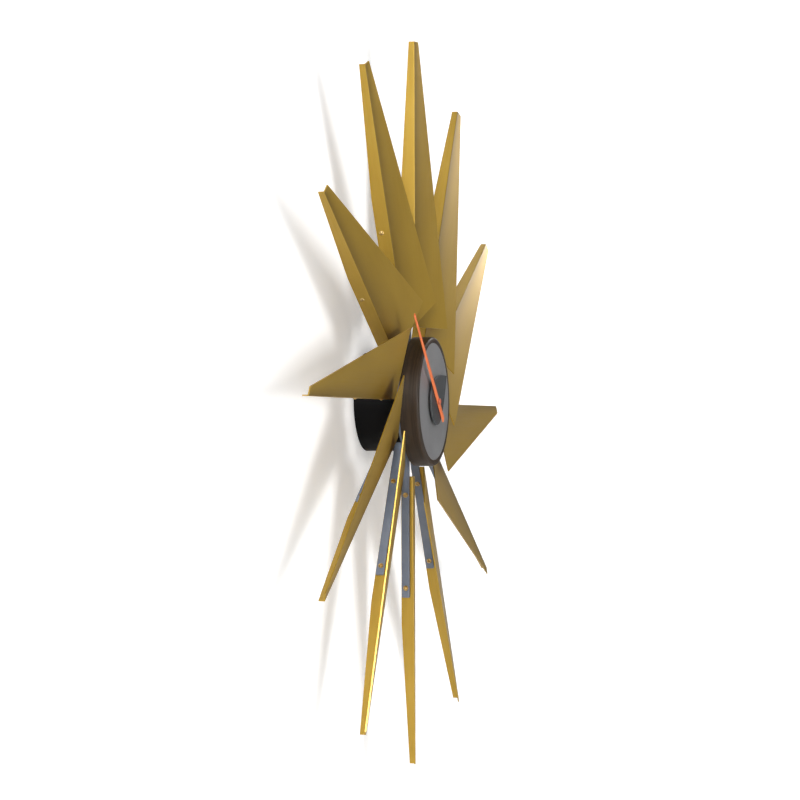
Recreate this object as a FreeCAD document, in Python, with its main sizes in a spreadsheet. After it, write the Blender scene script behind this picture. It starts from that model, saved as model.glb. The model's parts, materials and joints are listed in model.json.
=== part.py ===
import FreeCAD, Part
import Sketcher
import math
import os

# Sunburst wall clock, millimetres. The origin is the centre of the rear face, which
# lies on the wall. +Z is up, -Y points into the room, and "depth" below is the
# distance from the wall, so y = -depth.

DIMS = {
    # blades: a folded sheet with a deep flange and a wide wing
    "ray_count": 12,
    "sheet": 1.2,
    "fold_depth": 52.0,
    "fold_offset": 2.1,
    "blade_inner": 78.9,
    "blade_tip": 381.0,
    "wing_inner_width": 74.8,
    "wing_tip_width": 8.5,
    "wing_angle": 13.0,
    "flange_height": 14.2,
    "flange_tip_height": 5.8,
    "flange_shoulder": 235.0,
    # arms
    "arm_start": 52.3,
    "arm_end": 206.5,
    "arm_width": 8.6,
    "arm_thick": 2.0,
    "arm_back_depth": 38.6,
    "rivet_inner": 98.5,
    "rivet_outer": 196.5,
    "rivet_depth": 43.1,
    "rivet_shank": 1.5,
    "rivet_bore": 1.15,
    "rivet_head": 2.4,
    "rivet_dome": 1.3,
    "rivet_clear": 0.06,
    "collar_radius": 2.7,
    "collar_thick": 1.1,
    # rear housing and cover
    "drum_radius": 52.0,
    "drum_wall": 2.5,
    "flange_bore": 36.0,
    "drum_flange": 2.5,
    "cover_radius": 49.2,
    "cover_thick": 2.0,
    "boss_radius": 4.7,
    "boss_length": 18.0,
    "boss_pitch_radius": 45.0,
    "boss_hole": 1.55,
    "boss_hole_length": 14.0,
    "cover_hole": 1.75,
    "keyhole_height": 28.0,
    "keyhole_radius": 5.0,
    "keyhole_slot": 2.5,
    "keyhole_rise": 11.0,
    "cover_head": 3.0,
    "cover_head_depth": 1.4,
    # hub
    "hub_radius": 57.0,
    "hub_back": 47.2,
    "hub_thick": 3.0,
    "spacer_inner": 40.0,
    "spacer_outer": 50.0,
    "ring_back": 53.0,
    "ring_front": 73.5,
    "ring_outer": 68.0,
    "ring_inner": 40.0,
    "ring_round": 2.6,
    "ring_rear_round": 1.0,
    "rebate_radius": 61.9,
    "rebate_depth": 1.4,
    "dial_radius": 61.6,
    "dial_thick": 1.2,
    "dial_hole": 4.3,
    "screw_pitch_radius": 45.0,
    "screw_shank": 1.7,
    "screw_hole": 2.0,
    "screw_head": 3.4,
    "screw_head_depth": 2.0,
    "screw_end": 66.0,
    # movement
    "case_side": 54.0,
    "case_wall": 1.2,
    "case_back": 52.4,
    "case_split": 61.5,
    "case_front": 71.2,
    "bush_radius": 4.0,
    "bush_bore": 2.6,
    "bush_end": 75.1,
    "nut_across": 11.0,
    "nut_thick": 1.7,
    "washer_radius": 9.0,
    "pipe_radius": 2.55,
    "pipe_bore": 1.66,
    "pipe_neck": 2.2,
    "arbor_radius": 1.6,
    "arbor_neck": 1.2,
    "arbor_back": 56.2,
    "hand_clear": 0.02,
    "centre_distance": 12.0,
    "minute_teeth": 12,
    "idler_teeth": 36,
    "leaf_teeth": 10,
    "hour_teeth": 40,
    "minute_module": 0.5,
    "hour_module": 0.48,
    "gear_thick": 1.2,
    "minute_gear_depth": 64.0,
    "hour_gear_depth": 66.2,
    "idler_arbor": 0.9,
    "knob_radius": 6.0,
    "knob_back": 48.8,
    "knob_thick": 3.0,
    "battery_radius": 7.15,
    "battery_length": 48.0,
    "battery_height": -18.4,
    "battery_depth": 61.45,
    # hands
    "hour_back": 75.3,
    "hour_thick": 1.4,
    "hour_radius": 25.0,
    "hour_tip": 49.5,
    "hour_side_radius": 150.0,
    "hour_angle": 56.0,
    "minute_back": 77.3,
    "minute_thick": 1.2,
    "minute_tip": 130.7,
    "minute_tail": 29.0,
    "minute_root_width": 6.6,
    "minute_tip_width": 3.4,
    "minute_angle": 312.0,
    "cap_radius": 3.4,
    "cap_height": 2.2,
}

doc = FreeCAD.newDocument("sunburst_clock")
sheet = doc.addObject("Spreadsheet::Sheet", "Dims")
for row, (alias, value) in enumerate(DIMS.items(), 1):
    sheet.set("A%d" % row, alias)
    sheet.set("B%d" % row, str(value))
    sheet.setAlias("B%d" % row, alias)
doc.recompute()

FRONT_AXIS = FreeCAD.Vector(0, 1, 0)
NODES = []


def dim(alias):
    return float(getattr(sheet, alias))


def evaluate(expression):
    """Value of an expression written with the sheet's aliases."""
    return float(sheet.evalExpression(expression))


def bind(obj, prop, expression):
    words = expression
    for alias in sorted(DIMS, key=len, reverse=True):
        words = words.replace(alias, "\0%d\0" % list(DIMS).index(alias))
    for index, alias in enumerate(DIMS):
        words = words.replace("\0%d\0" % index, "Dims." + alias)
    obj.setExpression(prop, words)


def node(obj, label):
    obj.Label = label
    NODES.append(obj)
    return obj


def new_body(label, angle=0.0, place=(0.0, 0.0, 0.0)):
    body = doc.addObject("PartDesign::Body", label)
    turn = FreeCAD.Rotation(FRONT_AXIS, angle)
    body.Placement = FreeCAD.Placement(FreeCAD.Vector(*place), turn)
    return node(body, label)


def plane_of(body, role):
    for feature in body.Origin.OriginFeatures:
        if feature.Role == role:
            return feature
    raise ValueError(role)


def new_sketch(body, name, role="XZ_Plane", depth="0"):
    """Sketch on an origin plane. On XZ its normal points into the room."""
    sketch = body.newObject("Sketcher::SketchObject", name)
    sketch.AttachmentSupport = [(plane_of(body, role), "")]
    sketch.MapMode = "FlatFace"
    bind(sketch, "AttachmentOffset.Base.z", depth)
    return sketch


def fix_point(sketch, geometry, which, x, y, tag):
    index = sketch.addConstraint(Sketcher.Constraint("DistanceX", -1, 1, geometry, which, evaluate(x)))
    sketch.renameConstraint(index, tag + "_x")
    bind(sketch, "Constraints." + tag + "_x", x)
    index = sketch.addConstraint(Sketcher.Constraint("DistanceY", -1, 1, geometry, which, evaluate(y)))
    sketch.renameConstraint(index, tag + "_y")
    bind(sketch, "Constraints." + tag + "_y", y)


def polygon(sketch, points):
    """Closed outline through points, each a pair of sheet expressions."""
    values = [FreeCAD.Vector(evaluate(x), evaluate(y), 0) for x, y in points]
    count = len(points)
    first = sketch.GeometryCount
    for i in range(count):
        sketch.addGeometry(Part.LineSegment(values[i], values[(i + 1) % count]))
    for i in range(count):
        following = first + (i + 1) % count
        sketch.addConstraint(Sketcher.Constraint("Coincident", first + i, 2, following, 1))
    for i, (x, y) in enumerate(points):
        fix_point(sketch, first + i, 1, x, y, "p%d" % (first + i))


def circle(sketch, radius, x="0", y="0"):
    centre = FreeCAD.Vector(evaluate(x), evaluate(y), 0)
    normal = FreeCAD.Vector(0, 0, 1)
    index = sketch.addGeometry(Part.Circle(centre, normal, evaluate(radius)))
    fix_point(sketch, index, 3, x, y, "c%d" % index)
    rule = sketch.addConstraint(Sketcher.Constraint("Radius", index, evaluate(radius)))
    sketch.renameConstraint(rule, "r%d" % index)
    bind(sketch, "Constraints.r%d" % index, radius)


def pad(body, sketch, name, length, reverse=False):
    feature = body.newObject("PartDesign::Pad", name)
    feature.Profile = sketch
    feature.Reversed = reverse
    bind(feature, "Length", length)
    return feature


def pocket(body, sketch, name, length, reverse=True):
    """Cut towards the room by default."""
    feature = body.newObject("PartDesign::Pocket", name)
    feature.Profile = sketch
    feature.Reversed = reverse
    bind(feature, "Length", length)
    return feature


def turned(body, name, points, cut=False):
    """Revolve (depth, radius) points about the clock's axis."""
    sketch = new_sketch(body, name + "_profile", "YZ_Plane")
    polygon(sketch, [("-(" + depth + ")", radius) for depth, radius in points])
    kind = "PartDesign::Groove" if cut else "PartDesign::Revolution"
    feature = body.newObject(kind, name)
    feature.Profile = sketch
    feature.ReferenceAxis = (sketch, ["H_Axis"])
    feature.Angle = 360
    return feature


def around(body, feature, name, count):
    """Repeat a feature about the clock's axis."""
    pattern = body.newObject("PartDesign::PolarPattern", name)
    pattern.Originals = [feature]
    pattern.Axis = (feature.Profile[0], ["N_Axis"])
    pattern.Angle = 360
    bind(pattern, "Occurrences", count)
    body.Tip = pattern
    return pattern


def edges_where(feature, test):
    doc.recompute()
    found = []
    for index, edge in enumerate(feature.Shape.Edges, 1):
        if test(edge):
            found.append("Edge%d" % index)
    return found


def blade(label, angle):
    body = new_body(label, angle)
    flange = new_sketch(body, "flange_outline", "YZ_Plane", "fold_offset - sheet / 2")
    top = "-(fold_depth)"
    foot = "-(fold_depth - flange_height)"
    tip = "-(fold_depth - flange_tip_height)"
    polygon(flange, [(top, "blade_inner"), (foot, "blade_inner"), (foot, "flange_shoulder"),
                     (tip, "blade_tip"), (top, "blade_tip")])
    pad(body, flange, "flange", "sheet")
    wing = new_sketch(body, "wing_outline", "XZ_Plane", "fold_depth - sheet / 2")
    bind(wing, "AttachmentOffset.Base.x", "fold_offset")
    wing.AttachmentOffset = FreeCAD.Placement(
        FreeCAD.Vector(dim("fold_offset"), 0, dim("fold_depth") - dim("sheet") / 2),
        FreeCAD.Rotation(FreeCAD.Vector(0, 1, 0), -dim("wing_angle")))
    edge = "-(sheet / 2)"
    polygon(wing, [(edge, "blade_inner"), ("wing_inner_width", "blade_inner"),
                   ("wing_tip_width", "blade_tip"), (edge, "blade_tip")])
    sheet_pad = pad(body, wing, "wing", "sheet")
    fold = edges_where(sheet_pad, fold_edge)
    bend = body.newObject("PartDesign::Fillet", "fold_bend")
    bend.Base = (sheet_pad, fold)
    bend.Radius = 0.7 * dim("sheet")
    return body


def fold_edge(edge):
    """Long outer edge where the flange turns into the wing."""
    low = edge.BoundBox
    is_long = low.ZLength > 0.9 * (dim("blade_tip") - dim("blade_inner"))
    at_left = low.XMax < dim("fold_offset") - 0.3 * dim("sheet")
    return is_long and at_left and low.YMin < -(dim("fold_depth") + 0.1)


def arm(label, angle):
    body = new_body(label, angle)
    side = new_sketch(body, "arm_outline", "YZ_Plane", "fold_offset + sheet / 2")
    back = "-(arm_back_depth)"
    front = "-(arm_back_depth + arm_width)"
    polygon(side, [(back, "arm_start"), (back, "arm_end"), (front, "arm_end"), (front, "arm_start")])
    bar = pad(body, side, "bar", "arm_thick")
    corners = edges_where(bar, outer_corner)
    ease = body.newObject("PartDesign::Fillet", "end_corners")
    ease.Base = (bar, corners)
    ease.Radius = 1.2
    holes = new_sketch(body, "rivet_holes", "YZ_Plane", "fold_offset + sheet / 2")
    circle(holes, "rivet_shank + rivet_clear", "-(rivet_depth)", "rivet_inner")
    circle(holes, "rivet_shank + rivet_clear", "-(rivet_depth)", "rivet_outer")
    pocket(body, holes, "rivet_bores", "arm_thick")
    return body


def outer_corner(edge):
    box = edge.BoundBox
    return box.XLength > 0.9 * dim("arm_thick") and box.ZMin > dim("arm_end") - 0.1


def blade_with_holes(label, angle):
    body = blade(label, angle)
    holes = new_sketch(body, "rivet_holes", "YZ_Plane", "fold_offset - sheet / 2")
    circle(holes, "rivet_shank + rivet_clear", "-(rivet_depth)", "rivet_inner")
    circle(holes, "rivet_shank + rivet_clear", "-(rivet_depth)", "rivet_outer")
    pocket(body, holes, "rivet_bores", "sheet")
    return body


def revolve_about_x(points):
    wire = Part.makePolygon([FreeCAD.Vector(x, r, 0) for x, r in points + points[:1]])
    return Part.Face(wire).revolve(FreeCAD.Vector(0, 0, 0), FreeCAD.Vector(1, 0, 0), 360)


def fastener_group(label, solid):
    """One copy of a fastener at both holes of every ray."""
    copies = []
    for ray in range(int(dim("ray_count"))):
        turn = FreeCAD.Placement(FreeCAD.Vector(), FreeCAD.Rotation(FRONT_AXIS, 30.0 * ray))
        for height in ("rivet_inner", "rivet_outer"):
            copy = solid.copy()
            copy.translate(FreeCAD.Vector(0, -dim("rivet_depth"), dim(height)))
            copy.Placement = turn.multiply(copy.Placement)
            copies.append(copy)
    group = doc.addObject("Part::Feature", label)
    group.Shape = Part.makeCompound(copies)
    return node(group, label)


def rivets():
    left = dim("fold_offset") - dim("sheet") / 2
    right = dim("fold_offset") + dim("sheet") / 2 + dim("arm_thick")
    end = right + dim("collar_thick") + 0.5
    shank = revolve_about_x([(left, 0), (left, dim("rivet_shank")), (end, dim("rivet_shank")),
                             (end, dim("rivet_bore")), (end - 2.4, dim("rivet_bore")), (end - 2.4, 0)])
    radius = dim("rivet_head")
    rise = dim("rivet_dome")
    ball = (radius * radius + rise * rise) / (2 * rise)
    dome = Part.makeSphere(ball, FreeCAD.Vector(left - rise + ball, 0, 0))
    block = Part.makeBox(rise, 4 * radius, 4 * radius, FreeCAD.Vector(left - rise, -2 * radius, -2 * radius))
    return fastener_group("blade_rivets", dome.common(block).fuse(shank).removeSplitter())


def collars():
    left = dim("fold_offset") + dim("sheet") / 2 + dim("arm_thick")
    right = left + dim("collar_thick")
    inner = dim("rivet_shank") + dim("rivet_clear")
    outer = dim("collar_radius")
    ease = 0.35
    ring = revolve_about_x([(left, inner), (left, outer), (right - ease, outer), (right, outer - ease),
                            (right, inner + ease), (right - ease, inner)])
    return fastener_group("rivet_collars", ring)


def rear_housing():
    body = new_body("rear_housing")
    inside = "drum_radius - drum_wall"
    lip = "hub_back - drum_flange"
    turned(body, "shell", [("0", "drum_radius"), ("hub_back", "drum_radius"), ("hub_back", "flange_bore"),
                           (lip, "flange_bore"), (lip, inside), ("0", inside)])
    seat = new_sketch(body, "boss_outline", "XZ_Plane", "cover_thick")
    circle(seat, "boss_radius", "boss_pitch_radius")
    boss = pad(body, seat, "boss", "boss_length")
    around(body, boss, "bosses", "3")
    drill = new_sketch(body, "boss_drill", "XZ_Plane", "cover_thick")
    circle(drill, "boss_hole", "boss_pitch_radius")
    hole = pocket(body, drill, "boss_bore", "boss_hole_length")
    around(body, hole, "boss_bores", "3")
    drill = new_sketch(body, "hub_drill", "XZ_Plane", "hub_back - drum_flange")
    circle(drill, "screw_hole", "screw_pitch_radius * cos(45)", "screw_pitch_radius * sin(45)")
    hole = pocket(body, drill, "hub_bore", "drum_flange")
    around(body, hole, "hub_bores", "4")
    return body


def rear_cover():
    body = new_body("rear_cover")
    outline = new_sketch(body, "disc_outline")
    circle(outline, "cover_radius")
    pad(body, outline, "disc", "cover_thick")
    entry = new_sketch(body, "keyhole_entry")
    circle(entry, "keyhole_radius", "0", "keyhole_height")
    pocket(body, entry, "keyhole", "cover_thick")
    slot = new_sketch(body, "keyhole_slot_outline")
    top = "keyhole_height + keyhole_rise"
    polygon(slot, [("-(keyhole_slot)", "keyhole_height"), ("keyhole_slot", "keyhole_height"),
                   ("keyhole_slot", top), ("-(keyhole_slot)", top)])
    pocket(body, slot, "keyhole_neck", "cover_thick")
    end = new_sketch(body, "keyhole_end")
    circle(end, "keyhole_slot", "0", top)
    pocket(body, end, "keyhole_rest", "cover_thick")
    drill = new_sketch(body, "screw_drill")
    circle(drill, "cover_hole", "boss_pitch_radius")
    hole = pocket(body, drill, "screw_bore", "cover_thick")
    around(body, hole, "screw_bores", "3")
    sink = new_sketch(body, "head_drill")
    circle(sink, "cover_head + 0.2", "boss_pitch_radius")
    well = pocket(body, sink, "head_well", "cover_head_depth")
    around(body, well, "head_wells", "3")
    return body


def screw(head, head_depth, shank, length):
    """Screw along -Y with its head's outer face at y = 0 and a cross slot in it."""
    axis = FreeCAD.Vector(0, -1, 0)
    body = Part.makeCylinder(head, head_depth, FreeCAD.Vector(), axis)
    stem = Part.makeCylinder(shank, length - head_depth, FreeCAD.Vector(0, -head_depth, 0), axis)
    solid = body.fuse(stem).removeSplitter()
    for wide, tall in ((1.2 * head, 0.7), (0.7, 1.2 * head)):
        bit = Part.makeBox(wide, 0.5 * head_depth, tall)
        bit.translate(FreeCAD.Vector(-wide / 2, -0.5 * head_depth, -tall / 2))
        solid = solid.cut(bit)
    return solid


def screw_ring(label, solid, radius, count, start, depth):
    copies = []
    for i in range(count):
        angle = math.radians(start + i * 360.0 / count)
        copy = solid.copy()
        copy.translate(FreeCAD.Vector(radius * math.cos(angle), -depth, radius * math.sin(angle)))
        copies.append(copy)
    group = doc.addObject("Part::Feature", label)
    group.Shape = Part.makeCompound(copies)
    return node(group, label)


def cover_screws():
    solid = screw(dim("cover_head"), dim("cover_head_depth"), dim("boss_hole") - 0.05, 12.0)
    return screw_ring("cover_screws", solid, dim("boss_pitch_radius"), 3, 0.0, 0.0)


def hub_screws():
    seat = dim("hub_back") - dim("drum_flange") - dim("screw_head_depth")
    length = dim("screw_end") - seat
    solid = screw(dim("screw_head"), dim("screw_head_depth"), dim("screw_shank"), length)
    return screw_ring("hub_screws", solid, dim("screw_pitch_radius"), 4, 45.0, seat)


def four_holes(body, name, depth, radius, length):
    drill = new_sketch(body, name + "_drill", "XZ_Plane", depth)
    circle(drill, radius, "screw_pitch_radius * cos(45)", "screw_pitch_radius * sin(45)")
    hole = pocket(body, drill, name + "_bore", length)
    around(body, hole, name + "_bores", "4")


def hub_plate():
    body = new_body("hub_plate")
    front = "hub_back + hub_thick"
    turned(body, "plate", [("hub_back", "flange_bore"), ("hub_back", "hub_radius"),
                           (front + " - 0.4", "hub_radius"), (front, "hub_radius - 0.4"),
                           (front, "flange_bore")])
    four_holes(body, "screw", "hub_back", "screw_hole", "hub_thick")
    return body


def spacer_ring():
    body = new_body("spacer_ring")
    back = "hub_back + hub_thick"
    turned(body, "ring", [(back, "spacer_inner"), (back, "spacer_outer"), ("ring_back", "spacer_outer"),
                          ("ring_back", "spacer_inner")])
    four_holes(body, "screw", back, "screw_hole", "ring_back - hub_back - hub_thick")
    return body


def walnut_ring():
    body = new_body("walnut_ring")
    floor = "ring_front - rebate_depth"
    ring = turned(body, "ring", [("ring_back", "ring_inner"), ("ring_back", "ring_outer"),
                                 ("ring_front", "ring_outer"), ("ring_front", "rebate_radius"),
                                 (floor, "rebate_radius"), (floor, "ring_inner")])
    front_rim = edges_where(ring, lambda e: rim(e, "ring_front"))
    soft = body.newObject("PartDesign::Fillet", "front_round")
    soft.Base = (ring, front_rim)
    bind(soft, "Radius", "ring_round")
    rear_rim = edges_where(soft, lambda e: rim(e, "ring_back"))
    ease = body.newObject("PartDesign::Fillet", "rear_round")
    ease.Base = (soft, rear_rim)
    bind(ease, "Radius", "ring_rear_round")
    four_holes(body, "screw", "ring_back", "screw_shank + 0.03", "screw_end - ring_back + 1")
    return body


def rim(edge, depth):
    box = edge.BoundBox
    flat = box.YLength < 0.01 and abs(box.YMin + dim(depth)) < 0.01
    return flat and abs(box.XMax - dim("ring_outer")) < 0.01


def dial_plate():
    body = new_body("dial_plate")
    back = "ring_front - rebate_depth"
    front = "ring_front - rebate_depth + dial_thick"
    turned(body, "disc", [(back, "dial_hole"), (back, "dial_radius"), (front + " - 0.25", "dial_radius"),
                          (front, "dial_radius - 0.25"), (front, "dial_hole")])
    return body


def square(sketch, half):
    polygon(sketch, [("-(" + half + ")", "-(" + half + ")"), (half, "-(" + half + ")"),
                     (half, half), ("-(" + half + ")", half)])


def movement_front():
    body = new_body("movement_case_front")
    outline = new_sketch(body, "case_outline", "XZ_Plane", "case_split")
    square(outline, "case_side / 2")
    box = pad(body, outline, "case", "case_front - case_split")
    corners = edges_where(box, lambda e: e.BoundBox.YLength > 1)
    soft = body.newObject("PartDesign::Fillet", "case_corners")
    soft.Base = (box, corners)
    soft.Radius = 3.0
    inside = new_sketch(body, "case_inside", "XZ_Plane", "case_split")
    square(inside, "case_side / 2 - case_wall")
    pocket(body, inside, "hollow", "case_front - case_split - case_wall")
    stem = new_sketch(body, "bush_outline", "XZ_Plane", "case_front - case_wall / 2")
    circle(stem, "bush_radius")
    pad(body, stem, "bush", "bush_end - case_front + case_wall / 2")
    bore = new_sketch(body, "bush_drill", "XZ_Plane", "case_front - case_wall")
    circle(bore, "bush_bore")
    pocket(body, bore, "bush_hole", "bush_end - case_front + case_wall")
    return body


def movement_back():
    body = new_body("movement_case_back")
    outline = new_sketch(body, "case_outline", "XZ_Plane", "case_back")
    square(outline, "case_side / 2")
    box = pad(body, outline, "case", "case_split - case_back")
    corners = edges_where(box, lambda e: e.BoundBox.YLength > 1)
    soft = body.newObject("PartDesign::Fillet", "case_corners")
    soft.Base = (box, corners)
    soft.Radius = 3.0
    inside = new_sketch(body, "case_inside", "XZ_Plane", "case_back + case_wall")
    square(inside, "case_side / 2 - case_wall")
    pocket(body, inside, "hollow", "case_split - case_back - case_wall")
    hole = new_sketch(body, "knob_drill", "XZ_Plane", "case_back")
    offset = "-(centre_distance * cos(45))"
    circle(hole, "idler_arbor + 0.05", offset, "centre_distance * sin(45)")
    pocket(body, hole, "knob_bore", "case_wall")
    return body


def dial_nut():
    body = new_body("dial_nut")
    back = "ring_front - rebate_depth + dial_thick"
    outline = new_sketch(body, "nut_outline", "XZ_Plane", back)
    flat = "nut_across / 2"
    point = "nut_across / 2 / cos(30)"
    half = "nut_across / 4 / cos(30)"
    polygon(outline, [(point, "0"), (half, flat), ("-(" + half + ")", flat), ("-(" + point + ")", "0"),
                      ("-(" + half + ")", "-(" + flat + ")"), (half, "-(" + flat + ")")])
    pad(body, outline, "nut", "nut_thick")
    bore = new_sketch(body, "nut_drill", "XZ_Plane", back)
    circle(bore, "bush_radius + 0.03")
    pocket(body, bore, "nut_hole", "nut_thick")
    return body


def dial_washer():
    body = new_body("dial_washer")
    front = "ring_front - rebate_depth"
    turned(body, "ring", [("case_front", "bush_radius + 0.2"), ("case_front", "washer_radius"),
                          (front, "washer_radius"), (front, "bush_radius + 0.2")])
    return body


def gear(body, name, teeth, module, depth, thick, phase="0"):
    """Disc with straight-flanked tooth gaps cut all round it."""
    blank = new_sketch(body, name + "_blank", "XZ_Plane", depth)
    circle(blank, module + " * (" + teeth + " / 2 + 0.75)")
    pad(body, blank, name + "_disc", thick)
    gap = new_sketch(body, name + "_gap", "XZ_Plane", depth)
    root = module + " * (" + teeth + " / 2 - 1.1)"
    tip = module + " * (" + teeth + " / 2 + 1.2)"
    polygon(gap, [("-(" + module + " * 0.8)", root), (module + " * 0.8", root),
                  (module + " * 1.3", tip), ("-(" + module + " * 1.3)", tip)])
    bind(gap, "AttachmentOffset.Base.z", depth)
    gap.AttachmentOffset = FreeCAD.Placement(
        FreeCAD.Vector(0, 0, evaluate(depth)), FreeCAD.Rotation(FreeCAD.Vector(0, 0, 1), evaluate(phase)))
    cut = pocket(body, gap, name + "_cut", thick)
    return around(body, cut, name + "_teeth", teeth)


def minute_arbor():
    body = new_body("minute_arbor")
    gear(body, "pinion", "minute_teeth", "minute_module", "minute_gear_depth", "gear_thick", "45")
    turned(body, "shaft", [("arbor_back", "0"), ("arbor_back", "arbor_radius"),
                           ("minute_back", "arbor_radius"), ("minute_back", "arbor_neck"),
                           ("minute_back + minute_thick", "arbor_neck"), ("minute_back + minute_thick", "0")])
    turned(body, "drive_wheel", [("arbor_back + 1.4", "0"), ("arbor_back + 1.4", "8.2"),
                                 ("arbor_back + 2.4", "8.2"), ("arbor_back + 2.4", "0")])
    return body


def hour_wheel():
    body = new_body("hour_wheel")
    gear(body, "wheel", "hour_teeth", "hour_module", "hour_gear_depth", "gear_thick", "45 + 180 / hour_teeth")
    turned(body, "pipe", [("hour_gear_depth", "pipe_bore - 0.4"), ("hour_gear_depth", "pipe_radius"),
                          ("hour_back", "pipe_radius"), ("hour_back", "pipe_neck"),
                          ("hour_back + hour_thick", "pipe_neck"),
                          ("hour_back + hour_thick", "pipe_bore - 0.4")])
    bore = new_sketch(body, "pipe_drill", "XZ_Plane", "hour_gear_depth")
    circle(bore, "pipe_bore")
    pocket(body, bore, "pipe_hole", "hour_back + hour_thick - hour_gear_depth")
    return body


def idler_place():
    reach = dim("centre_distance") * math.cos(math.radians(45))
    return (-reach, 0.0, reach)


def intermediate_wheel():
    body = new_body("intermediate_wheel", 0.0, idler_place())
    gear(body, "wheel", "idler_teeth", "minute_module", "minute_gear_depth", "gear_thick",
         "-135 + 180 / idler_teeth")
    gear(body, "leaves", "leaf_teeth", "hour_module", "hour_gear_depth - 1", "gear_thick + 1", "-135")
    turned(body, "arbor", [("knob_back + knob_thick", "0"), ("knob_back + knob_thick", "idler_arbor"),
                           ("hour_gear_depth + 2.4", "idler_arbor"), ("hour_gear_depth + 2.4", "0")])
    return body


def setting_knob():
    body = new_body("setting_knob", 0.0, idler_place())
    front = "knob_back + knob_thick"
    turned(body, "knob", [("knob_back", "0"), ("knob_back", "knob_radius - 0.5"),
                          ("knob_back + 0.5", "knob_radius"), (front, "knob_radius"), (front, "0")])
    groove = new_sketch(body, "grip_outline", "XZ_Plane", "knob_back")
    circle(groove, "0.45", "knob_radius")
    cut = pocket(body, groove, "grip", "knob_thick")
    around(body, cut, "grips", "20")
    return body


def battery():
    body = new_body("battery", 0.0, (0.0, 0.0, dim("battery_height")))
    outline = new_sketch(body, "cell_outline", "YZ_Plane", "-(battery_length / 2)")
    circle(outline, "battery_radius", "-(battery_depth)")
    pad(body, outline, "cell", "battery_length")
    button = new_sketch(body, "button_outline", "YZ_Plane", "battery_length / 2 - 0.1")
    circle(button, "2.7", "-(battery_depth)")
    pad(body, button, "button", "1.3")
    return body


def battery_contacts():
    half = dim("battery_length") / 2
    depth = dim("battery_depth")
    height = dim("battery_height")
    plates = []
    for x in (half + 1.5, -half - 1.0):
        plate = Part.makeBox(0.4, 9.0, 9.0)
        plate.translate(FreeCAD.Vector(x - 0.2, -depth - 4.5, height - 4.5))
        plates.append(plate)
    group = doc.addObject("Part::Feature", "battery_contacts")
    group.Shape = Part.makeCompound(plates)
    return node(group, "battery_contacts")


def block(label, size, corner):
    box = doc.addObject("Part::Box", label)
    box.Length, box.Width, box.Height = size
    box.Placement = FreeCAD.Placement(FreeCAD.Vector(*corner), FreeCAD.Rotation())
    return node(box, label)


def electronics():
    depth = dim("case_back") + dim("case_wall")
    block("circuit_board", (11.0, 1.2, 22.0), (12.6, -depth - 1.4, 2.0))
    core = doc.addObject("Part::Cylinder", "motor_coil")
    core.Radius = 2.6
    core.Height = 15.0
    core.Placement = FreeCAD.Placement(FreeCAD.Vector(18.0, -depth - 6.2, 5.0), FreeCAD.Rotation())
    node(core, "motor_coil")
    block("motor_module", (9.0, 3.0, 3.2), (13.5, -depth - 7.7, 21.0))


def hour_hand():
    body = new_body("hour_hand", dim("hour_angle"))
    sketch = new_sketch(body, "teardrop", "XZ_Plane", "hour_back")
    r = dim("hour_radius")
    tip = dim("hour_tip")
    side = dim("hour_side_radius")
    cosine = (2 * r * side - r * r - tip * tip) / (2 * tip * (side - r))
    sine = math.sqrt(1 - cosine * cosine)
    meet = FreeCAD.Vector(r * sine, r * cosine, 0)
    mirror = FreeCAD.Vector(-meet.x, meet.y, 0)
    point = FreeCAD.Vector(0, tip, 0)
    centre = FreeCAD.Vector((r - side) * sine, (r - side) * cosine, 0)
    middle = (meet + point) * 0.5 - centre
    middle = centre + middle.normalize() * side
    sketch.addGeometry(Part.Arc(meet, FreeCAD.Vector(0, -r, 0), mirror))
    sketch.addGeometry(Part.Arc(meet, middle, point))
    sketch.addGeometry(Part.Arc(mirror, FreeCAD.Vector(-middle.x, middle.y, 0), point))
    plate = pad(body, sketch, "plate", "hour_thick")
    rim_edges = edges_where(plate, lambda e: abs(e.BoundBox.YMin + dim("hour_back") + dim("hour_thick")) < 0.01
                            and e.BoundBox.YLength < 0.01)
    ease = body.newObject("PartDesign::Chamfer", "rim_ease")
    ease.Base = (plate, rim_edges)
    ease.Size = 0.3
    bore = new_sketch(body, "bore_outline", "XZ_Plane", "hour_back")
    circle(bore, "pipe_neck + hand_clear")
    pocket(body, bore, "bore", "hour_thick")
    return body


def minute_hand():
    body = new_body("minute_hand", dim("minute_angle"))
    sketch = new_sketch(body, "outline", "XZ_Plane", "minute_back")
    root = "minute_root_width / 2"
    tip = "minute_tip_width / 2"
    polygon(sketch, [("-(" + root + ")", "-(minute_tail)"), (root, "-(minute_tail)"), (root, "0"),
                     (tip, "minute_tip"), ("-(" + tip + ")", "minute_tip"), ("-(" + root + ")", "0")])
    blank = pad(body, sketch, "blank", "minute_thick")
    front = dim("minute_back") + dim("minute_thick")
    sides = edges_where(blank, lambda e: abs(e.BoundBox.YMin + front) < 0.01 and e.BoundBox.ZLength > 20)
    ridge = body.newObject("PartDesign::Chamfer", "ridge")
    ridge.Base = (blank, sides)
    ridge.Size = 0.55
    bore = new_sketch(body, "bore_outline", "XZ_Plane", "minute_back")
    circle(bore, "arbor_neck + hand_clear")
    pocket(body, bore, "bore", "minute_thick")
    return body


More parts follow.
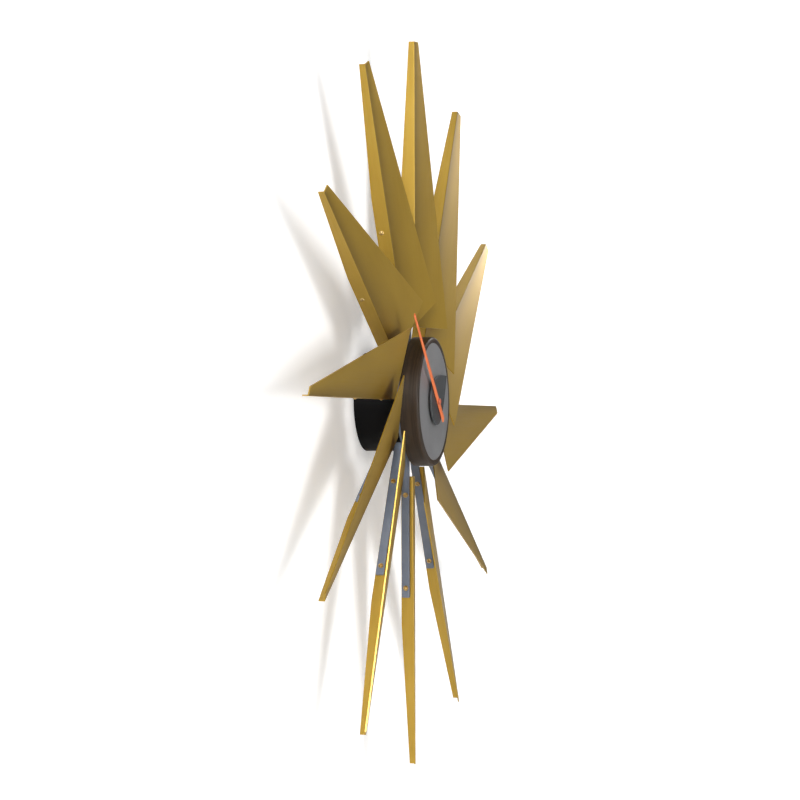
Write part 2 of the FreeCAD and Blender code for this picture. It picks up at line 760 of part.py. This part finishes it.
def minute_cap():
    body = new_body("minute_cap")
    back = "minute_back + minute_thick"
    dome = turned(body, "dome", [(back, "0"), (back, "cap_radius"),
                                 (back + " + 0.5 * cap_height", "cap_radius"),
                                 (back + " + cap_height", "0.55 * cap_radius"),
                                 (back + " + cap_height", "0")])
    front_edges = edges_where(dome, lambda e: e.BoundBox.YLength < 0.01
                              and e.BoundBox.YMin < -evaluate("minute_back + minute_thick") - 0.2)
    soft = body.newObject("PartDesign::Fillet", "soft_top")
    soft.Base = (dome, front_edges)
    soft.Radius = 0.6
    return body


for ray in range(int(dim("ray_count"))):
    blade_with_holes("blade_%02d" % (ray + 1), 30.0 * ray)
    arm("arm_%02d" % (ray + 1), 30.0 * ray)
rivets()
collars()
rear_housing()
rear_cover()
cover_screws()
hub_screws()
hub_plate()
spacer_ring()
walnut_ring()
dial_plate()
movement_front()
movement_back()
dial_nut()
dial_washer()
minute_arbor()
hour_wheel()
intermediate_wheel()
setting_knob()
battery()
battery_contacts()
electronics()
hour_hand()
minute_hand()
minute_cap()
doc.recompute()

for obj in doc.Objects:
    if "Invalid" in obj.State or "Error" in obj.State:
        raise RuntimeError("%s is %s" % (obj.Label, obj.State))

os.makedirs("parts", exist_ok=True)
for obj in NODES:
    if obj.Shape.isNull() or not obj.Shape.isValid():
        raise RuntimeError(obj.Label + " has no valid shape")
    obj.Shape.exportStep("parts/" + obj.Label + ".step")
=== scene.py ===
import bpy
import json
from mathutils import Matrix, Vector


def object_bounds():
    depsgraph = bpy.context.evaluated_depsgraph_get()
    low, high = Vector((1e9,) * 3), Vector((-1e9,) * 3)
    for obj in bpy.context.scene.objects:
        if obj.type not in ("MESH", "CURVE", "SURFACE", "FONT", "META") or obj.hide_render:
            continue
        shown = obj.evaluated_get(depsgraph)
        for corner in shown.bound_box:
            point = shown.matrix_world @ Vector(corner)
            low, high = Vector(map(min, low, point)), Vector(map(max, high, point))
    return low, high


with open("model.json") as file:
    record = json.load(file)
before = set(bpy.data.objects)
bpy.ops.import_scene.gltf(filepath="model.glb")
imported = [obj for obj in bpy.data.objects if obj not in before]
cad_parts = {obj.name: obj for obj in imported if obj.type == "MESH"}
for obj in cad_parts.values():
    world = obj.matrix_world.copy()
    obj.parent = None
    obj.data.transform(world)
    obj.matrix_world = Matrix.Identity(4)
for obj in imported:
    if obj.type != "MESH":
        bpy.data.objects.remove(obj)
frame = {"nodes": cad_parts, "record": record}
cad_box = [list(map(float, corner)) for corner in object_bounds()]

import json
import math

import bpy
from mathutils import Matrix, Vector

NODES = frame["nodes"]
# a blade in metres: where its sheet starts and ends, wing width at each end, fold line beside its ray
BLADE_INNER = 0.0789
BLADE_TIP = 0.381
WING_INNER = 0.0729
WING_TIP = 0.0083
FOLD_OFFSET = 0.0021
SLOT_OF = {p["node"]: p["material_slot"] for p in frame["record"]["subparts"]}


# ---------------------------------------------------------------- node helpers
class Graph:
    """Short way to wire one material's nodes."""

    def __init__(self, name):
        self.mat = bpy.data.materials.new(name)
        self.mat.use_nodes = True
        self.tree = self.mat.node_tree
        self.tree.nodes.clear()
        self.out = self.tree.nodes.new("ShaderNodeOutputMaterial")
        self.shader = self.tree.nodes.new("ShaderNodeBsdfPrincipled")
        self.link(self.shader.outputs[0], self.out.inputs["Surface"])

    def link(self, a, b):
        self.tree.links.new(a, b)

    def put(self, socket, value):
        if hasattr(value, "is_linked"):
            self.link(value, socket)
        else:
            socket.default_value = value

    def node(self, kind, **settings):
        n = self.tree.nodes.new(kind)
        for key, value in settings.items():
            setattr(n, key, value)
        return n

    def coords(self):
        return self.node("ShaderNodeTexCoord").outputs["Object"]

    def math(self, op, a, b=0.0, clamp=False):
        n = self.node("ShaderNodeMath", operation=op, use_clamp=clamp)
        self.put(n.inputs[0], a)
        self.put(n.inputs[1], b)
        return n.outputs[0]

    def noise(self, vector, scale, detail=4.0, rough=0.55):
        n = self.node("ShaderNodeTexNoise")
        self.put(n.inputs["Vector"], vector)
        n.inputs["Scale"].default_value = scale
        n.inputs["Detail"].default_value = detail
        n.inputs["Roughness"].default_value = rough
        return n.outputs["Fac"]

    def ramp(self, fac, stops):
        n = self.node("ShaderNodeValToRGB")
        self.put(n.inputs[0], fac)
        ramp = n.color_ramp
        while len(ramp.elements) < len(stops):
            ramp.elements.new(0.5)
        for element, (at, colour) in zip(ramp.elements, stops):
            element.position = at
            element.color = (*colour, 1.0)
        return n.outputs[0]

    def span(self, fac, low, high, to_low, to_high):
        n = self.node("ShaderNodeMapRange")
        self.put(n.inputs["Value"], fac)
        limits = {"From Min": low, "From Max": high, "To Min": to_low, "To Max": to_high}
        for key, value in limits.items():
            self.put(n.inputs[key], value)
        return n.outputs[0]

    def mix(self, fac, a, b):
        n = self.node("ShaderNodeMix", data_type="RGBA")
        self.put(n.inputs["Factor"], fac)
        for socket, value in ((n.inputs[6], a), (n.inputs[7], b)):
            self.put(socket, value if hasattr(value, "is_linked") else (*value, 1.0))
        return n.outputs[2]

    def combine(self, x, y, z):
        n = self.node("ShaderNodeCombineXYZ")
        for socket, value in zip(n.inputs, (x, y, z)):
            self.put(socket, value)
        return n.outputs[0]

    def separate(self, vector):
        n = self.node("ShaderNodeSeparateXYZ")
        self.put(n.inputs[0], vector)
        return n.outputs

    def bump(self, height, strength, distance):
        n = self.node("ShaderNodeBump")
        n.inputs["Strength"].default_value = strength
        n.inputs["Distance"].default_value = distance
        self.link(height, n.inputs["Height"])
        self.link(n.outputs[0], self.shader.inputs["Normal"])

    def edge(self, radius=0.0006):
        """About 1 along sharp edges, 0 elsewhere."""
        bevel = self.node("ShaderNodeBevel", samples=6)
        bevel.inputs["Radius"].default_value = radius
        plain = self.node("ShaderNodeNewGeometry").outputs["Normal"]
        dot = self.node("ShaderNodeVectorMath", operation="DOT_PRODUCT")
        self.link(bevel.outputs[0], dot.inputs[0])
        self.link(plain, dot.inputs[1])
        return self.math("SUBTRACT", 1.0, dot.outputs["Value"], clamp=True)

    def ray_coords(self, degrees):
        """Object coordinates turned so that z runs along a ray."""
        n = self.node("ShaderNodeVectorRotate", rotation_type="Y_AXIS")
        self.link(self.coords(), n.inputs["Vector"])
        n.inputs["Angle"].default_value = math.radians(-degrees)
        return n.outputs[0]

    def stretch(self, vector, scale):
        n = self.node("ShaderNodeMapping")
        self.link(vector, n.inputs["Vector"])
        n.inputs["Scale"].default_value = scale
        return n.outputs[0]

    def polar(self):
        """Radius from the clock's axis, angle round it and depth."""
        x, y, z = self.separate(self.coords())
        square = self.math("ADD", self.math("MULTIPLY", x, x), self.math("MULTIPLY", z, z))
        return self.math("SQRT", square), self.math("ARCTAN2", x, z), y

    def shade(self, colour, metallic, roughness, **extra):
        plain = not hasattr(colour, "is_linked")
        self.put(self.shader.inputs["Base Color"], (*colour, 1.0) if plain else colour)
        self.shader.inputs["Metallic"].default_value = metallic
        self.put(self.shader.inputs["Roughness"], roughness)
        for key, value in extra.items():
            self.shader.inputs[key.replace("_", " ")].default_value = value
        return self.mat


# ---------------------------------------------------------------- materials
def blade_brass(name, degrees):
    """Satin lacquered brass: fine grain along the blade, painted shade on the wing's front near the
    fold and a painted highlight on sharp edges.
    """
    g = Graph(name)
    along = g.ray_coords(degrees)
    t, _, r = g.separate(along)
    grain = g.noise(g.stretch(along, (900.0, 900.0, 14.0)), 1.0, 3.0)
    broad = g.noise(g.stretch(along, (26.0, 26.0, 7.0)), 1.0, 4.0)
    specks = g.noise(g.coords(), 2600.0, 2.0)
    width = g.span(r, BLADE_INNER, BLADE_TIP, WING_INNER, WING_TIP)
    across = g.math("DIVIDE", g.math("SUBTRACT", t, FOLD_OFFSET), width, clamp=True)
    normal = g.node("ShaderNodeNewGeometry").outputs["Normal"]
    front = g.math("LESS_THAN", g.separate(normal)[1], -0.5)
    near_fold = g.math("POWER", g.math("SUBTRACT", 1.0, across, clamp=True), 2.0)
    # painted shade: the wing's front faces darken towards the fold line
    painted_fold_shade = g.math("MULTIPLY", front, near_fold)
    tone = g.ramp(broad, [(0.30, (0.430, 0.262, 0.030)), (0.55, (0.480, 0.298, 0.038)),
                          (0.78, (0.525, 0.335, 0.052))])
    tone = g.mix(g.span(grain, 0.3, 0.7, 0.0, 0.20), tone, (0.60, 0.41, 0.10))
    # painted shade near the fold, mixed towards dark brown
    tone = g.mix(g.math("MULTIPLY", painted_fold_shade, 0.72), tone, (0.160, 0.098, 0.020))
    # painted highlight: sharp edges and the fold line lightened to pale brass
    tone = g.mix(g.span(g.edge(), 0.03, 0.22, 0.0, 0.30), tone, (0.70, 0.52, 0.20))
    rough = g.span(broad, 0.25, 0.75, 0.30, 0.37)
    rough = g.math("ADD", rough, g.span(grain, 0.3, 0.7, -0.03, 0.03))
    fine = g.math("MULTIPLY", g.math("ADD", grain, g.math("MULTIPLY", specks, 0.6)), 0.000006)
    g.bump(fine, 1.0, 1.0)
    return g.shade(tone, 0.55, rough, Specular_IOR_Level=0.5)


def polished_brass(name):
    g = Graph(name)
    spots = g.noise(g.coords(), 240.0, 3.0)
    lines = g.noise(g.stretch(g.coords(), (3200.0, 500.0, 500.0)), 1.0, 2.0)
    tone = g.ramp(spots, [(0.35, (0.56, 0.38, 0.13)), (0.7, (0.74, 0.54, 0.24))])
    # painted highlight: sharp edges lightened to pale brass
    tone = g.mix(g.span(g.edge(0.0003), 0.03, 0.3, 0.0, 0.6), tone, (0.86, 0.70, 0.42))
    g.bump(lines, 0.15, 0.00003)
    return g.shade(tone, 0.9, g.span(spots, 0.3, 0.7, 0.22, 0.36))


def slate_paint(name, dark, light, rough=0.42, metal=0.1, gloss=0.5):
    """Sprayed satin paint with faint orange peel and a painted highlight lightening the sharp edges."""
    g = Graph(name)
    peel = g.noise(g.coords(), 1400.0, 2.0)
    cloud = g.noise(g.coords(), 38.0, 4.0)
    tone = g.mix(g.span(cloud, 0.3, 0.7, 0.0, 1.0), dark, light)
    # painted highlight: a lighter tone laid along sharp edges
    edge_highlight = tuple(min(1.0, 1.9 * c + 0.002) for c in light)
    tone = g.mix(g.span(g.edge(0.0005), 0.03, 0.25, 0.0, 0.55), tone, edge_highlight)
    g.bump(peel, 0.16, 0.00008)
    satin = g.span(cloud, 0.3, 0.7, rough - 0.05, rough + 0.07)
    return g.shade(tone, metal, satin, Specular_IOR_Level=gloss)


def walnut(name):
    """Turned and laminated walnut: streaks run round the ring."""
    g = Graph(name)
    radius, angle, depth = g.polar()
    wave = g.noise(g.combine(g.math("MULTIPLY", angle, 1.6), radius, depth), 3.0, 3.0)
    layer = g.math("ADD", g.math("MULTIPLY", depth, 900.0), g.math("MULTIPLY", wave, 2.6))
    spread = g.math("MULTIPLY", radius, 620.0)
    bands = g.noise(g.combine(layer, g.math("MULTIPLY", angle, 1.1), spread), 0.42, 5.0, 0.62)
    ends = g.combine(g.math("MULTIPLY", depth, 4200.0), g.math("MULTIPLY", angle, 16.0),
                     g.math("MULTIPLY", radius, 4200.0))
    pores = g.noise(ends, 1.0, 3.0, 0.6)
    tone = g.ramp(bands, [(0.22, (0.009, 0.0055, 0.003)), (0.42, (0.023, 0.0135, 0.007)),
                          (0.55, (0.041, 0.025, 0.0135)), (0.68, (0.027, 0.016, 0.009)),
                          (0.82, (0.064, 0.041, 0.024))])
    tone = g.mix(g.span(pores, 0.56, 0.70, 0.0, 0.55), tone, (0.008, 0.005, 0.003))
    # painted highlight: sharp edges lightened to a pale brown
    tone = g.mix(g.span(g.edge(0.0009), 0.03, 0.3, 0.0, 0.35), tone, (0.17, 0.115, 0.075))
    height = g.math("SUBTRACT", g.math("MULTIPLY", bands, 0.5), g.span(pores, 0.56, 0.72, 0.0, 1.0))
    g.bump(height, 0.28, 0.00012)
    return g.shade(tone, 0.0, g.span(bands, 0.3, 0.7, 0.40, 0.54), Specular_IOR_Level=0.3)


def dial_metal(name):
    """Satin spun aluminium: very fine circles and a soft cloud."""
    g = Graph(name)
    radius, angle, _ = g.polar()
    circles = g.combine(g.math("MULTIPLY", radius, 9000.0), g.math("MULTIPLY", angle, 2.5), 0.0)
    rings = g.noise(circles, 1.0, 3.0)
    cloud = g.noise(g.coords(), 30.0, 4.0)
    grain = g.noise(g.coords(), 3000.0, 2.0)
    tone = g.ramp(cloud, [(0.3, (0.420, 0.418, 0.425)), (0.7, (0.500, 0.498, 0.505))])
    tone = g.mix(g.span(rings, 0.35, 0.65, 0.0, 0.16), tone, (0.58, 0.58, 0.60))
    # painted highlight: sharp edges lightened to pale silver
    tone = g.mix(g.span(g.edge(0.0004), 0.03, 0.3, 0.0, 0.5), tone, (0.75, 0.75, 0.77))
    g.bump(g.math("ADD", rings, grain), 0.08, 0.00004)
    return g.shade(tone, 0.85, g.span(grain, 0.3, 0.7, 0.34, 0.46))


def plastic(name, dark, light, rough=0.5, scale=900.0):
    g = Graph(name)
    grain = g.noise(g.coords(), scale, 3.0)
    cloud = g.noise(g.coords(), 60.0, 3.0)
    tone = g.mix(g.span(cloud, 0.3, 0.7, 0.0, 1.0), dark, light)
    # painted highlight: a lighter tone laid along sharp edges
    edge_highlight = tuple(min(1.0, 1.6 * c + 0.01) for c in light)
    tone = g.mix(g.span(g.edge(0.0005), 0.03, 0.3, 0.0, 0.5), tone, edge_highlight)
    g.bump(grain, 0.2, 0.00008)
    return g.shade(tone, 0.0, g.span(grain, 0.3, 0.7, rough - 0.06, rough + 0.08))


def bright_steel(name, tint=(0.56, 0.56, 0.57)):
    g = Graph(name)
    lines = g.noise(g.stretch(g.coords(), (500.0, 4000.0, 500.0)), 1.0, 2.0)
    cloud = g.noise(g.coords(), 130.0, 3.0)
    dull = tuple(0.7 * c for c in tint)
    tone = g.mix(g.span(cloud, 0.3, 0.7, 0.0, 1.0), dull, tint)
    g.bump(lines, 0.12, 0.00003)
    return g.shade(tone, 1.0, g.span(lines, 0.3, 0.7, 0.26, 0.38))


def backdrop(name, colour):
    """Pale plaster, clear from behind. Its glow is for the camera and barely lights the clock."""
    g = Graph(name)
    g.shade(colour, 0.0, 0.9, Specular_IOR_Level=0.1, Emission_Color=(1, 1, 1, 1))
    seen = g.node("ShaderNodeLightPath").outputs["Is Camera Ray"]
    far = g.span(g.separate(g.coords())[0], 0.3, 1.6, 0.34, 1.0)
    g.put(g.shader.inputs["Emission Strength"], g.span(seen, 0.0, 1.0, 0.03, far))
    g.bump(g.noise(g.coords(), 90.0, 3.0), 0.03, 0.0004)
    clear = g.node("ShaderNodeBsdfTransparent")
    sides = g.node("ShaderNodeMixShader")
    g.link(g.node("ShaderNodeNewGeometry").outputs["Backfacing"], sides.inputs[0])
    g.link(g.shader.outputs[0], sides.inputs[1])
    g.link(clear.outputs[0], sides.inputs[2])
    g.link(sides.outputs[0], g.out.inputs["Surface"])
    return g.mat


# ---------------------------------------------------------------- dress the CAD nodes
def dress(node, material):
    mesh = NODES[node].data
    if not mesh.materials:
        mesh.materials.append(material)
    for index in range(len(mesh.materials)):
        mesh.materials[index] = material


for ray in range(12):
    dress("blade_%02d" % (ray + 1), blade_brass("blade_brass_%02d" % (ray + 1), 30.0 * ray))

SLATE = slate_paint("slate_paint", (0.150, 0.180, 0.240), (0.205, 0.240, 0.310), 0.40, 0.1)
BLACK = slate_paint("black_paint", (0.0016, 0.0016, 0.0019), (0.003, 0.003, 0.0034), 0.5, 0.0, 0.12)
HOUR = slate_paint("hour_paint", (0.026, 0.028, 0.030), (0.038, 0.041, 0.044), 0.46, 0.0)
MINUTE = slate_paint("minute_paint", (0.720, 0.150, 0.040), (0.800, 0.190, 0.060), 0.45, 0.0)
CAP = slate_paint("cap_paint", (0.420, 0.075, 0.030), (0.500, 0.100, 0.042), 0.36, 0.0)
BRASS = polished_brass("rivet_brass")
STEEL = bright_steel("bright_steel")
MATERIALS = {
    "arm_paint": SLATE,
    "black_paint": BLACK,
    "hour_paint": HOUR,
    "minute_paint": MINUTE,
    "cap_paint": CAP,
    "fastener_brass": BRASS,
    "steel": STEEL,
    "walnut": walnut("walnut"),
    "dial_aluminium": dial_metal("dial_aluminium"),
    "black_plastic": plastic("black_plastic", (0.014, 0.014, 0.016), (0.026, 0.026, 0.028)),
    "gear_plastic": plastic("gear_plastic", (0.62, 0.60, 0.52), (0.72, 0.70, 0.62), 0.4),
    "rubber": plastic("rubber", (0.020, 0.020, 0.020), (0.034, 0.034, 0.034), 0.7),
    "battery_jacket": plastic("battery_jacket", (0.06, 0.07, 0.08), (0.10, 0.11, 0.12), 0.35),
    "board": plastic("board_green", (0.03, 0.15, 0.05), (0.05, 0.21, 0.08), 0.4),
    "coil_wire": bright_steel("coil_wire", (0.60, 0.24, 0.10)),
}
for node, slot in SLOT_OF.items():
    if slot in MATERIALS:
        dress(node, MATERIALS[slot])


# ---------------------------------------------------------------- stage, light, camera
def stage_plane(name, corners, material):
    mesh = bpy.data.meshes.new(name)
    mesh.from_pydata([Vector(c) for c in corners], [], [tuple(range(len(corners)))])
    mesh.materials.append(material)
    obj = bpy.data.objects.new(name, mesh)
    bpy.context.scene.collection.objects.link(obj)
    return obj


# the stage, in metres: floor below the clock, wall behind it
FLOOR_DROP = 0.42
FLOOR_REACH = 9.0
WALL_GAP = 0.0003
WALL_LEFT = -3.0
WALL_RIGHT = 30.0
WALL_TOP = 6.0

PAPER = backdrop("pale_backdrop", (0.86, 0.86, 0.86))
low, high = (Vector(c) for c in cad_box)
FLOOR_Z = low.z - FLOOR_DROP
WALL_Y = high.y + WALL_GAP
stage_plane("floor", [(-FLOOR_REACH, -FLOOR_REACH, FLOOR_Z), (FLOOR_REACH, -FLOOR_REACH, FLOOR_Z),
                      (FLOOR_REACH, FLOOR_REACH, FLOOR_Z), (-FLOOR_REACH, FLOOR_REACH, FLOOR_Z)], PAPER)
stage_plane("wall", [(WALL_LEFT, WALL_Y, FLOOR_Z), (WALL_RIGHT, WALL_Y, FLOOR_Z),
                     (WALL_RIGHT, WALL_Y, WALL_TOP), (WALL_LEFT, WALL_Y, WALL_TOP)], PAPER)


def area_light(name, place, aim, size, power):
    data = bpy.data.lights.new(name, "AREA")
    data.shape = "SQUARE"
    data.size = size
    data.energy = power
    obj = bpy.data.objects.new(name, data)
    obj.location = place
    obj.rotation_euler = (Vector(aim) - Vector(place)).to_track_quat("-Z", "Y").to_euler()
    bpy.context.scene.collection.objects.link(obj)
    return obj


# key: grazing from the left and above; front: lays the shadows on the wall;
# glow: from the far right, lifts the upper right-hand blades
area_light("key", (-3.5, -0.75, 1.35), (0, 0, 0), 0.8, 95)
area_light("front", (-0.2, -3.2, 0.15), (0, 0, 0), 1.6, 60)
area_light("glow", (2.7, -1.00, 0.95), (0.1, 0, 0.1), 0.6, 12)

world = bpy.data.worlds.new("studio")
bpy.context.scene.world = world
world.use_nodes = True
world.node_tree.nodes["Background"].inputs["Color"].default_value = (1.0, 1.0, 1.0, 1.0)
world.node_tree.nodes["Background"].inputs["Strength"].default_value = 0.06
bpy.context.scene.view_settings.view_transform = "Standard"

EYE = Vector((-2.6267, -0.7446, -0.0297))
# the camera's aim: turned towards the wall, raised a little
YAW = math.radians(15.096)
PITCH = math.radians(0.663)
ROLL = math.radians(-0.166)
look = Vector((math.cos(PITCH) * math.cos(YAW), math.cos(PITCH) * math.sin(YAW), math.sin(PITCH)))
side = Vector((math.sin(YAW), -math.cos(YAW), 0.0))
up = side.cross(look)
right = side * math.cos(ROLL) + up * math.sin(ROLL)
top = up * math.cos(ROLL) - side * math.sin(ROLL)
lens = bpy.data.cameras.new("camera")
lens.sensor_width = 36.0
lens.lens = 115.86
lens.clip_start = 0.05
camera = bpy.data.objects.new("camera", lens)
camera.matrix_world = Matrix((
    (right.x, top.x, -look.x, EYE.x),
    (right.y, top.y, -look.y, EYE.y),
    (right.z, top.z, -look.z, EYE.z),
    (0.0, 0.0, 0.0, 1.0)))
bpy.context.scene.collection.objects.link(camera)
bpy.context.scene.camera = camera
